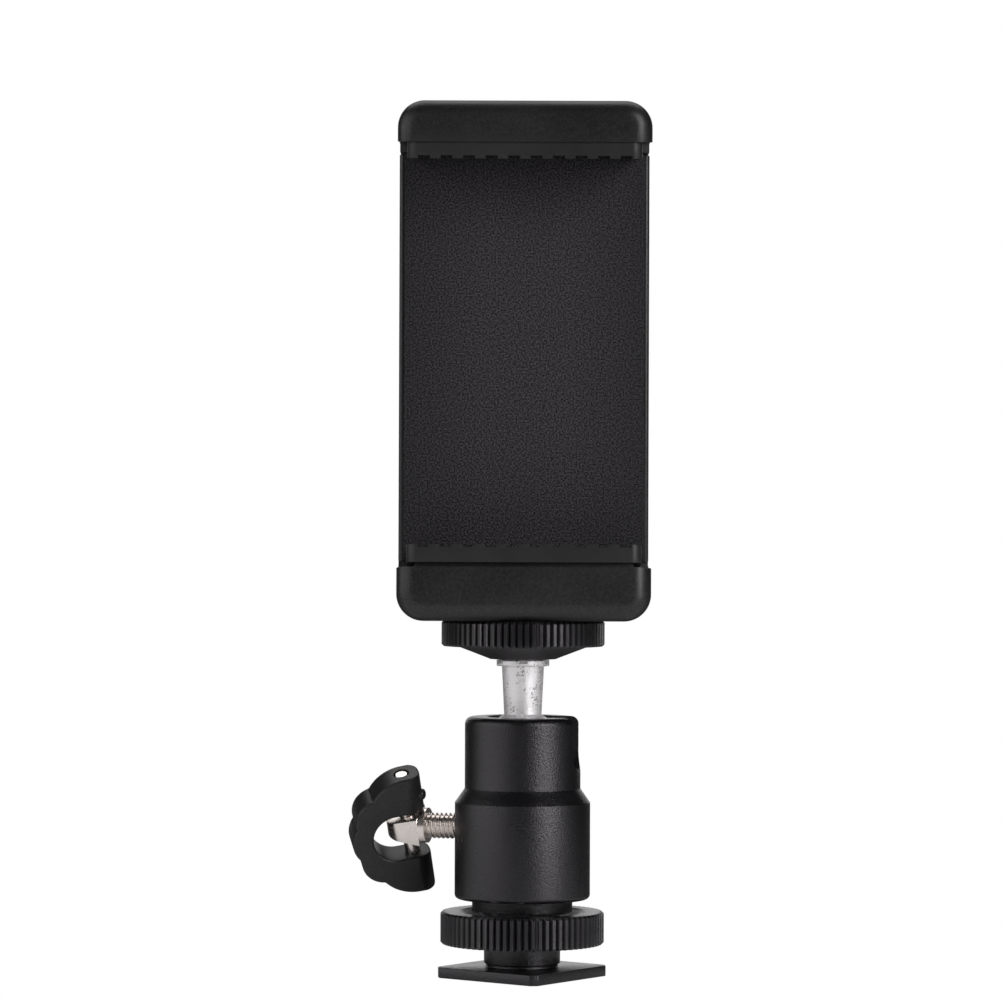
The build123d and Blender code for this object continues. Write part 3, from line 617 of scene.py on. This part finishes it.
nickel = plated("nickel", (0.98, 0.905, 0.86), rough=0.26)
joints = {joint["name"]: joint for joint in frame["joints"]}
screw_root = Vector(joints["lock_turn"]["pos_m"])
screw_axis = Vector(joints["lock_turn"]["axis"]).normalized()
pin_place = Vector(joints["lever_fold"]["pos_m"])
pin_axis = Vector(joints["lever_fold"]["axis"]).normalized()
screw_radius = 1.95
point_radius = 0.6
point_from_axis = 2.1
point_length = 1.8
thread_pitch = 0.7
thread_depth = 0.36
rings_per_turn = 12
flange_to_pin = 3.1
shank_overlap = 0.03
flange_from_axis = (pin_place - screw_root).length / mm - flange_to_pin
thread_from_axis = point_from_axis + point_length
thread_length = flange_from_axis - thread_from_axis
thread_rings = int(thread_length / thread_pitch * rings_per_turn)
thread_profile = [(0, point_from_axis), (point_radius, point_from_axis)]
thread_profile += [(screw_radius, thread_from_axis + thread_length * ring / thread_rings)
                   for ring in range(thread_rings + 1)]
thread_profile += [(0, flange_from_axis)]
screw_thread = turned("screw_thread", thread_profile, around=48, sharp_angle=70.0,
                      shaping=thread(thread_pitch, thread_depth, screw_radius))
stood_on(screw_thread, screw_root, screw_axis, pin_axis)
shank_end = screw_root + screw_axis * (flange_from_axis - shank_overlap) * mm
screw_head = softened("lock_screw", rounding=0.1, cut=(shank_end, screw_axis))
new_piece("threaded_lock_screw", joined("threaded_lock_screw", (screw_thread, screw_head)), nickel,
          "screw", "nickel", "lock_screw")


# Lever pin: a nickel-plated rivet through the tongue and both arms, with turned-down ends that sit
# a hair inside their holes.
pin_radius = 1.15
pin_end_radius = 0.97
pin_end_length = 0.5
pin_end_chamfer = 0.1
pin_end_face = pin_end_radius - 0.12
pin_sink = 0.04
pin_reach = [(corner.co - pin_place).dot(pin_axis) / mm for corner in nodes["lever_pin"].data.vertices]
pin_profile = []
for pin_end, inward in ((min(pin_reach) + pin_sink, 1), (max(pin_reach) - pin_sink, -1)):
    shoulder = pin_end + inward * pin_end_length
    steps = [(0, pin_end), (pin_end_face, pin_end), (pin_end_radius, pin_end + inward * pin_end_chamfer),
             (pin_end_radius, shoulder), (pin_radius, shoulder)]
    pin_profile += steps[::inward]
pin_mesh = stood_on(turned("rivet_pin", pin_profile, around=48), pin_place, pin_axis, screw_axis)
new_piece("rivet_pin", pin_mesh, nickel, "screw", "nickel", "lever_pin")


# Wing lever: injection-moulded black nylon in the shape of a C with a scalloped back, held by the pin.
# The small round nub on its upper arm is where the plastic came in.
def moulded_black(name, colour, rough, grain_size, grain_depth):
    """Moulded black plastic: a very fine eroded texture with pale specks and slow changes of gloss, and a
    painted highlight on its convex edges.
    """
    material, shader, inner, links = blank_material(name)
    grain = placed(inner, surface_grain, Grain_Size=grain_size, Patch_Size=12.0)
    edges = placed(inner, painted_edge_highlights, Threshold=0.54, Spread=0.14)
    specks = ranged(inner, links, grain.outputs["Height"], 0.0, 0.5, start=0.42, end=0.62)
    # Pale specks, and a painted highlight on convex edges, both lighten the colour.
    specks_and_highlights = reckoned(inner, links, "MAXIMUM", specks, edges.outputs["Mask"])
    links.new(tinted(inner, links, specks_and_highlights, [0.6 * c for c in colour], [2.4 * c for c in colour]),
              shader.inputs["Base Color"])
    slow_gloss(inner, links, grain, shader, rough - 0.04, rough + 0.05)
    shader.inputs["Specular IOR Level"].default_value = 0.5
    bumped(inner, links, grain.outputs["Height"], shader, strength=0.4, depth=grain_depth)
    return material


lever_plastic = moulded_black("lever_plastic", (0.012, 0.012, 0.0125), rough=0.42, grain_size=0.22,
                              grain_depth=0.04)
new_piece("scalloped_lever", softened("wing_lever", rounding=0.1), lever_plastic, "lever", "lever_plastic",
          "wing_lever")
gate_radius = 0.85
gate_reach = 0.62
gate_root = -0.3
gate_dome = ((1.0, 0.3), (0.9, 0.65), (0.62, 0.92))
gate_from_right = Vector((-5.0, 1.9, 27.1)) * mm
lever_data = nodes["wing_lever"].data
lever_skin = BVHTree.FromPolygons([corner.co for corner in lever_data.vertices],
                                  [face.vertices for face in lever_data.polygons])
gate_place, gate_way = lever_skin.ray_cast(gate_from_right, Vector((-1, 0, 0)))[:2]
gate_across = gate_way.cross(Vector((0, 0, 1))).normalized()
gate_profile = [(0, gate_root), (gate_radius, gate_root)]
gate_profile += [(gate_radius * out, gate_reach * up) for out, up in gate_dome] + [(0, gate_reach)]
gate_mesh = turned("gate_nub", gate_profile, around=32, sharp_angle=50.0)
stood_on(gate_mesh, gate_place, gate_way, gate_across)
new_piece("gate_nub", gate_mesh, lever_plastic, "lever", "lever_plastic", "wing_lever")


# Top disc: a knurled aluminium locking nut on the stud, anodised like the barrel, with a coned and
# duller underside and a shallow seat for its pad.
disc_low, disc_high = box_mm("top_disc")
disc_radius = (disc_high.x - disc_low.x) / 2
cone_height = 1.9
disc_rim_low = disc_low.z + cone_height
cone_top_radius = 9.9
cone_foot_radius = 5.2
cone_foot_band = 0.3
cone_foot_chamfer = 0.1
stud_hole_radius = 3.225
pad_seat_radius = 10.8
pad_seat_depth = 0.45
pad_seat = disc_high.z - pad_seat_depth
disc_profile = [(stud_hole_radius, disc_low.z), (cone_foot_radius - cone_foot_band, disc_low.z),
                (cone_foot_radius, disc_low.z + cone_foot_chamfer), (cone_top_radius, disc_rim_low)]
disc_profile += rim(disc_radius, disc_rim_low, disc_high.z)
disc_profile += [(pad_seat_radius, disc_high.z), (pad_seat_radius, pad_seat), (stud_hole_radius, pad_seat)]
new_piece("knurled_top_disc", knurled("knurled_top_disc", disc_profile, disc_radius), knurled_anodised,
          "disc", "black_anodised", "top_disc")

cone_anodised = anodised_black("cone_anodised", grain_depth=0.03, rough=0.62, edge_start=0.56,
                               edge_spread=0.1)
cone_inner_radius = cone_foot_radius - 0.2
cone_profile = [(cone_inner_radius, disc_low.z - skin),
                (cone_foot_radius, disc_low.z + cone_foot_chamfer - skin),
                (cone_top_radius, disc_rim_low - skin), (cone_top_radius, disc_rim_low + cone_foot_chamfer),
                (cone_inner_radius, disc_low.z + cone_foot_band)]
new_piece("disc_cone", turned("disc_cone", cone_profile, 192, closed=True), cone_anodised,
          "disc", "black_anodised", "top_disc")


# Friction pad: a thin washer of black rubber, glued into the seat of the disc. The clamp is screwed
# down on it, so its top is pressed a hair below the clamp.
def soft_rubber(name, colour, rough):
    """Moulded black rubber with a dull bloom."""
    material, shader, inner, links = blank_material(name)
    grain = placed(inner, surface_grain, Grain_Size=0.3, Patch_Size=7.0)
    links.new(tinted(inner, links, grain.outputs["Patches"], colour, [1.5 * c for c in colour]),
              shader.inputs["Base Color"])
    slow_gloss(inner, links, grain, shader, rough - 0.05, rough + 0.05)
    shader.inputs["Specular IOR Level"].default_value = 0.4
    bumped(inner, links, grain.outputs["Height"], shader, strength=0.4, depth=0.02)
    return material


pad_rubber = soft_rubber("pad_rubber", (0.012, 0.012, 0.012), rough=0.6)
pad_settle = 0.03
pad_top_band = 0.05
pad_top = box_mm("disc_pad")[1].z
pad_washer = softened("disc_pad", rounding=0.08)
for corner in pad_washer.vertices:
    if corner.co.z > (pad_top - pad_top_band) * mm:
        corner.co.z -= pad_settle * mm
new_piece("friction_pad", pad_washer, pad_rubber, "disc", "pad_rubber", "disc_pad")


# Clamp shell: injection-moulded black plastic with a fine eroded texture, the rear shell and the lower
# jaw in one piece. It is screwed onto the stud by the insert in its bottom.
shell_plastic = moulded_black("shell_plastic", (0.0150, 0.0150, 0.0155), rough=0.40, grain_size=0.28,
                              grain_depth=0.05)
new_piece("rear_shell_and_lower_jaw", softened("clamp_back", rounding=0.15), shell_plastic,
          "clamp", "shell_plastic", "clamp_back")


# Front cover: a flat plate of the same plastic with four bosses behind it, by which the screws of the
# back pull it against the shell.
new_piece("front_cover", softened("front_plate", rounding=0.15), shell_plastic, "clamp", "shell_plastic",
          "front_plate")


# Foam: a die-cut sheet of black closed-cell foam, glued to the front cover. Its pale specks are painted
# brighter down its middle as painted light and dimmer towards its sides as painted shade.
foam_low, foam_high = box_mm("foam_pad")
foam_half = (foam_high.x - foam_low.x) / 2
foam_lit_half = 0.35 * foam_half


def foam_skin(name):
    """Cut foam: matt, with fine dark cells and pale specks, the specks painted brightest in the middle as
    painted light and dimmer to the sides as painted shade.
    """
    cell_black, speck_grey = (0.003, 0.0027, 0.0032), (0.078, 0.071, 0.081)
    material, shader, inner, links = blank_material(name)
    grain = placed(inner, surface_grain, Grain_Size=0.25, Patch_Size=9.0)
    # Painted light: the specks fade from the middle of the sheet towards its sides.
    aside = reckoned(inner, links, "ABSOLUTE", piece_place(inner, links)["X"])
    light_falloff = ranged(inner, links, aside, 1.0, 0.62, start=foam_lit_half * mm, end=foam_half * mm)
    cells = ranged(inner, links, grain.outputs["Height"], 0.0, 1.0, start=0.40, end=0.62)
    specks = reckoned(inner, links, "MULTIPLY", cells, light_falloff)
    links.new(tinted(inner, links, specks, cell_black, speck_grey), shader.inputs["Base Color"])
    shader.inputs["Roughness"].default_value = 0.85
    shader.inputs["Specular IOR Level"].default_value = 0.3
    bumped(inner, links, grain.outputs["Height"], shader, strength=0.9, depth=0.08)
    return material


foam = foam_skin("foam")
foam_stretch = 0.4
foam_top_band = 1.0
foam_sheet = softened("foam_pad", rounding=0.12)
for corner in foam_sheet.vertices:
    if corner.co.z > (foam_high.z - foam_top_band) * mm:
        corner.co.z += foam_stretch * mm
foam_piece = new_piece("foam_face", foam_sheet, foam, "clamp", "foam", "foam_pad")


# Grips: moulded strips of black rubber with eleven ribs, one glued to the toed-in face of each jaw.
# Their ribs run from front to back, and the phone's long edges bed into them.
grip_rubber = soft_rubber("grip_rubber", (0.018, 0.018, 0.0185), rough=0.45)
for grip_name, grip_node, grip_body in (("lower_ribbed_grip", "lower_grip", "clamp"),
                                        ("upper_ribbed_grip", "upper_grip", "jaw")):
    new_piece(grip_name, softened(grip_node, rounding=0.12), grip_rubber,
              grip_body, "grip_rubber", grip_node)


# Upper jaw: a moulded cap of the shell's plastic, and the flat slider that two screws hold in its
# pocket. The slider runs in the shell, and the springs pull it down.
new_piece("upper_jaw_cap", softened("upper_jaw", rounding=0.15), shell_plastic, "jaw", "shell_plastic",
          "upper_jaw")
new_piece("slider", softened("slide_plate", rounding=0.15), shell_plastic, "jaw", "shell_plastic",
          "slide_plate")


# Insert: a turned brass bush with the clamp's 1/4 inch thread, moulded into the bottom of the shell.
# Only its lower face shows, when the clamp is off the stud.
def plain_brass(name):
    """Machined brass."""
    material, shader, inner, links = blank_material(name)
    grain = placed(inner, surface_grain, Grain_Size=0.3, Patch_Size=3.0)
    links.new(tinted(inner, links, grain.outputs["Patches"], (0.55, 0.38, 0.14), (0.75, 0.56, 0.26)),
              shader.inputs["Base Color"])
    slow_gloss(inner, links, grain, shader, 0.25, 0.4)
    shader.inputs["Metallic"].default_value = 1.0
    return material


brass = plain_brass("brass")
new_piece("brass_insert", softened("thread_insert", rounding=0.1), brass, "clamp", "brass", "thread_insert")


# Screws: small zinc-plated steel screws with domed heads and cross recesses, driven from the back. Four
# pull the shell and the cover together, and two hold the jaw on its slider.
def carved(mesh, cutter):
    """Cuts one mesh out of another."""
    body, tool = (bpy.data.objects.new("carved", shape) for shape in (mesh, cutter))
    for item in (body, tool):
        scene.collection.objects.link(item)
    cut = body.modifiers.new("cut", "BOOLEAN")
    cut.object = tool
    cut.solver = "EXACT"
    result = bpy.data.meshes.new_from_object(body.evaluated_get(bpy.context.evaluated_depsgraph_get()))
    for item in (body, tool):
        bpy.data.objects.remove(item)
    smooth_shaded(result)
    return result


def cross_recess(arm, width, depth, taper):
    """A plus-shaped cutter that narrows as it goes down from the head's top at height 0."""
    outline = []
    for quarter in range(4):
        along, aside = (Vector((cos(a), sin(a))) for a in (quarter * pi / 2, (quarter + 1) * pi / 2))
        outline += [along * arm - aside * width / 2, along * arm + aside * width / 2,
                    (along + aside) * width / 2]
    shape = bmesh.new()
    rings = [[shape.verts.new((point.x * grow * mm, point.y * grow * mm, height * mm)) for point in outline]
             for height, grow in ((-depth, taper), (depth / 2, 1.0))]
    for low, low_next, high_next, high in zip(rings[0], rings[0][1:] + rings[0][:1],
                                              rings[1][1:] + rings[1][:1], rings[1]):
        shape.faces.new((low, low_next, high_next, high))
    shape.faces.new(rings[0][::-1])
    shape.faces.new(rings[1])
    bmesh.ops.recalc_face_normals(shape, faces=shape.faces)
    mesh = bpy.data.meshes.new("cross_recess")
    shape.to_mesh(mesh)
    shape.free()
    return mesh


screw_head_radius = 1.7
screw_head_height = 1.0
screw_dome = ((0.0, 0.3), (0.15, 0.14), (0.5, 0.04))
screw_shank_radius = 0.9
screw_turn_per_mm = 0.4


def cross_head_screws(name, node):
    """The screws of a CAD node, each turned a little differently, driven in from the back."""
    low, high = box_mm(node)
    length = high.y - low.y
    profile = [(0, -length), (screw_shank_radius, -length), (screw_shank_radius, -screw_head_height),
               (screw_head_radius, -screw_head_height)]
    profile += [(screw_head_radius - inset, -drop) for inset, drop in screw_dome] + [(0, 0)]
    recess = cross_recess(arm=1.0, width=0.42, depth=0.75, taper=0.7)
    screw = carved(turned("screw", profile, around=48), recess)
    heights = sorted({round(low.z + screw_head_radius, 3), round(high.z - screw_head_radius, 3)})
    driven = []
    for x in (low.x + screw_head_radius, high.x - screw_head_radius):
        for z in heights:
            copy = screw.copy()
            copy.transform(Matrix.Rotation(screw_turn_per_mm * (x + z), 4, "Z"))
            copy.transform(Matrix.Translation(Vector((x, high.y, z)) * mm) @ Matrix.Rotation(-pi / 2, 4, "X"))
            driven.append(copy)
    return joined(name, driven)


new_piece("shell_screws", cross_head_screws("shell_screws", "body_screws"), zinc_steel,
          "clamp", "zinc_steel", "body_screws")
new_piece("jaw_cap_screws", cross_head_screws("jaw_cap_screws", "jaw_screws"), zinc_steel,
          "jaw", "zinc_steel", "jaw_screws")


# Tension springs: close-wound music wire between the posts of the shell and the pegs of the slider,
# with a full loop at each end. They stretch as the jaw goes up.
def wire(name, points, radius, sides=8):
    """A round wire along a path, in millimetres."""
    shape = bmesh.new()
    side = Vector((0, 1, 0))
    rings = []
    for i, point in enumerate(points):
        ahead = points[min(i + 1, len(points) - 1)] - points[max(i - 1, 0)]
        ahead.normalize()
        side = (side - ahead * side.dot(ahead)).normalized()
        over = ahead.cross(side)
        around = [side * cos(2 * pi * k / sides) + over * sin(2 * pi * k / sides) for k in range(sides)]
        rings.append([shape.verts.new((point + radius * out) * mm) for out in around])
    for low, high in zip(rings, rings[1:]):
        for k in range(sides):
            shape.faces.new((low[k], low[(k + 1) % sides], high[(k + 1) % sides], high[k]))
    shape.faces.new(rings[0][::-1])
    shape.faces.new(rings[-1])
    bmesh.ops.recalc_face_normals(shape, faces=shape.faces)
    mesh = bpy.data.meshes.new(name)
    shape.to_mesh(mesh)
    shape.free()
    smooth_shaded(mesh, 60.0)
    return mesh


wire_radius = 0.33
wire_gap = 0.03
loop_radius = 1.45
coil_radius = 1.25
loop_to_end = loop_radius + 0.35
steps_per_turn = 18
loop_start = 300
loop_step = 15
loop_points = 20
lead_rise = 0.2


def spring_path(centre, low, high, coil_low, coil_high):
    """Loop, coil and loop, one above the other."""
    turns = floor((coil_high - coil_low) / (2 * wire_radius + wire_gap)) + 0.5
    steps = int(turns * steps_per_turn)

    def on_coil(angle, height):
        return Vector((centre.x + coil_radius * cos(angle), centre.y + coil_radius * sin(angle), height))

    ends = []
    for loop_z, coil_z, way, coil_angle in ((low.z + loop_to_end, coil_low, 1, 0.0),
                                            (high.z - loop_to_end, coil_high, -1, 2 * pi * turns)):
        loop = [Vector((centre.x + loop_radius * sin(a), centre.y, loop_z + way * loop_radius * cos(a)))
                for a in (radians(loop_start - loop_step * i) for i in range(loop_points))]
        start = on_coil(coil_angle, coil_z)
        lead = [loop[-1].lerp(start, share) + Vector((0, 0, way * lead_rise * sin(pi * share)))
                for share in (0.25, 0.5, 0.75)]
        ends.append(loop + lead)
    coil = [on_coil(2 * pi * turns * i / steps, coil_low + (coil_high - coil_low) * i / steps)
            for i in range(steps + 1)]
    return ends[0] + coil + ends[1][::-1]


for side_name in ("left", "right"):
    spring_low, spring_high = box_mm(side_name + "_spring")
    middle = (spring_low + spring_high) / 2
    coil_low = spring_low.z + loop_to_end + 2 * loop_radius
    coil_high = spring_high.z - loop_to_end - 2 * loop_radius
    route = spring_path(middle, spring_low, spring_high, coil_low, coil_high)
    spring_name = "tension_spring_" + side_name
    spring = bpy.data.objects.new(spring_name, wire(spring_name, route, wire_radius))
    spring.data.materials.append(zinc_steel)
    scene.collection.objects.link(spring)
    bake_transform(spring)
    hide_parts(side_name + "_spring")


# Pressure cup: natural nylon, loose in the barrel under the ball. The point of the lock screw drives
# its cone up, and its dished top grips the ball.
def natural_nylon(name):
    """Milky moulded nylon."""
    material, shader, inner, links = blank_material(name)
    grain = placed(inner, surface_grain, Grain_Size=0.5, Patch_Size=4.0)
    links.new(tinted(inner, links, grain.outputs["Patches"], (0.62, 0.60, 0.54), (0.74, 0.72, 0.67)),
              shader.inputs["Base Color"])
    shader.inputs["Roughness"].default_value = 0.45
    return material


inner_nylon = natural_nylon("inner_nylon")
new_piece("ball_seat_cup", softened("pressure_cup", rounding=0.1), inner_nylon, "base", "inner_nylon",
          "pressure_cup")
